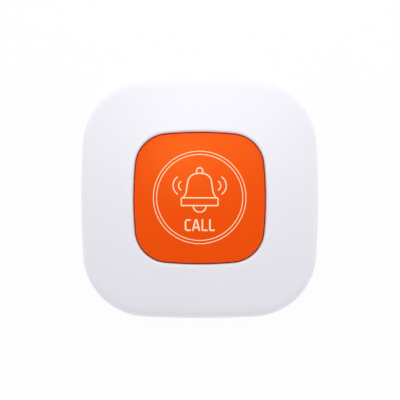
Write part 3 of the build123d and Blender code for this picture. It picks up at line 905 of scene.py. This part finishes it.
def print_lines(name, width, lines):
    """Give lines a width, lay them on the key's dome and let them ride on the key."""
    start_piece(name)
    for line in lines:
        stroke(*line)
    bpy.ops.mesh.select_all(action="SELECT")
    bpy.ops.mesh.remove_doubles(threshold=weld_reach)
    bpy.ops.object.mode_set(mode="OBJECT")
    bpy.ops.object.convert(target="CURVE")
    path = bpy.context.object.data
    path.bevel_depth = width / 2
    path.bevel_resolution = 2
    path.use_fill_caps = True
    bpy.ops.object.convert(target="MESH")
    piece = bpy.context.object
    for point in piece.data.vertices:
        point.co.y += print_shift
        point.co.z = on_dome(point.co, key_crown, key_radius) + ink_lift + point.co.z * ink_flatness
    close_up()
    dress(piece, "call_cap", cream_ink, smooth=60)


print_lines("key_ring_print", 0.25 * MM, (
    ((13.59, 0), (0, 0, 180), (0, 0, 180)),
    ((12.65, 0), (0, 0, 180), (0, 0, 180)),
))
# The bell's knob, body, bar and clapper
print_lines("key_bell_print", 0.39 * MM, (
    ((0.6, 7.05), (0, 7.75, 278.8)),
    ((-4.85, -0.14), (-4.4, 0.55), (-4.05, 1.18), (-3.87, 1.9), (-3.79, 2.65), (-3.49, 4.6),
     (-0.6, 4.1, -71), (0, 7.08), (0.62, 7.05), (0.6, 4.1, -71), (3.79, 2.65), (3.87, 1.9), (4.05, 1.18),
     (4.4, 0.55), (4.85, -0.14)),
    ((-5.37, -0.44), (-5.07, -0.44, -90), (5.07, -0.14), (5.07, -0.44, -90), (5.37, -2.12),
     (5.07, -2.12, -90), (-5.07, -2.42), (-5.07, -2.12, -90), (-5.37, -0.44)),
    ((-1.9, -2.46), (0, -2.46, 180)),
))
# Two arcs each side of the bell
print_lines("key_wave_print", 0.36 * MM, (
    ((6.4, 0.88), (4.69, 3.48, 113.2)),
    ((5.41, 2.08), (4.63, 3.42, 119.5)),
    ((-6.4, 0.88), (-4.69, 3.48, -113.2)),
    ((-5.41, 2.08), (-4.63, 3.42, -119.5)),
))
print_lines("key_word_print", 0.49 * MM, (
    ((-2.6, -6.66), (-3.55, -6.66), (-3.55, -7.26, 90), (-4.15, -9.06), (-3.55, -9.06, 90),
     (-2.6, -9.66)),
    ((-2.05, -9.84), (-1.2, -6.62), (-0.9, -6.62), (-0.05, -9.84)),
    ((-1.75, -8.85), (-0.35, -8.85)),
    ((0.8, -6.42), (0.8, -9.66), (2.32, -9.66)),
    ((3.0, -6.42), (3.0, -9.66), (4.44, -9.66)),
))

# ---- Top housing ----
# The upper shell is moulded in the same white ABS: a shallow dome with bowed sides, large round corners,
# a rolled edge and a rolled lip round the key. Inside it are pads that stop the key's tabs, clamps over
# the guide plate, and bosses for the cover screws with a web each.
shell_wall = 2.0 * MM
seam_height = 5.2 * MM
seam_groove = 0.4 * MM
groove_ease = 0.1 * MM  # the slope of the groove's roof
crown_height = 17.2 * MM
crown_radius = 150.0 * MM
edge_lean = 0.17 * MM
edge_roll = 2.0 * MM
roll_end = 2.8 * MM
lip_roll = 1.0 * MM
key_gap = 0.25 * MM
pad_depth = 1.3 * MM
pad_root = 14.5 * MM
clamp_place = 25.375 * MM
clamp_depth = 3.0 * MM
clamp_length = 9.0 * MM
clamp_root = 14.3 * MM
boss_place = 33.41 * MM
boss_radius = 3.0 * MM
boss_root = 12.0 * MM
boss_sides = 8
web_place = 37.6 * MM
web_length = 3.6 * MM
web_width = 1.2 * MM
web_root = 10.8 * MM

body_outline = Outline(width=70.0 * MM, side_radius=297.0 * MM, corner_radius=19.0 * MM)
ceiling_height = crown_height - shell_wall
hollow_radius = crown_radius - shell_wall

shell = start_piece("housing_shell")
# The rings drawn at crown_height and ceiling_height are set on their domes afterwards
shell_rings = (
    # Up the outside, and over the top to the lip
    (body_outline, 0.0, seam_height + seam_groove),
    (body_outline, -edge_lean, crown_height),
    (body_outline, -roll_end, crown_height),
    (key_outline, key_gap + 2 * lip_roll, crown_height),
    (key_outline, key_gap, crown_height),
    # Down through the opening, and out under the top
    (key_outline, key_gap, ceiling_height),
    (body_outline, -shell_wall - edge_lean, ceiling_height),
    # Down the inside, and round the groove at the seam
    (body_outline, -shell_wall, seam_height + lead_in),
    (body_outline, -seam_groove, seam_height),
    (body_outline, -seam_groove, seam_height + seam_groove - groove_ease),
)
for outline, grow, height in shell_rings:
    outline.ring(grow, height)
lift(shell, in_rings(1, 2, 3, 4), crown_height, crown_radius)
lift(shell, in_rings(5, 6), ceiling_height, hollow_radius)
for number in (0, 1, 3, 4, 6, 7, 8, 9):
    skin(shell, number, (number + 1) % len(shell_rings))
ring_points = len(shell.data.vertices)
skin(shell, 2, 3, cuts=12)
lift(shell, lambda point: point.index >= ring_points, crown_height, crown_radius)
outside_points = len(shell.data.vertices)
skin(shell, 5, 6, cuts=6)
lift(shell, lambda point: point.index >= outside_points, ceiling_height, hollow_radius)
pick(shell, in_rings(4))
bpy.ops.mesh.bevel(offset=lip_roll, segments=6, affect="EDGES")
pick(shell, in_rings(1))
bpy.ops.mesh.bevel(offset=edge_roll, segments=8, affect="EDGES")
for quarter in range(4):
    turn = quarter * pi / 2
    along = Matrix.Rotation(turn, 3, "Z")
    outwards = Matrix.Rotation(turn + pi / 4, 3, "Z")
    pad = along @ Vector((tab_end - pad_depth / 2, 0, 0))
    clamp = along @ Vector((clamp_place, 0, 0))
    web = outwards @ Vector((web_place, 0, 0))
    boss = outwards @ Vector((boss_place, 0, 0))
    block(pad, (pad_depth, tab_length), tab_top, pad_root, turn)
    block(clamp, (clamp_depth, clamp_length), plate_top, clamp_root, turn)
    block(web, (web_length, web_width), seam_height, web_root, turn + pi / 4)
    rod(boss, boss_radius, seam_height, boss_root, boss_sides, turn + pi / 8)
close_up()
dress(shell, "housing", white_abs, ["top_housing"])
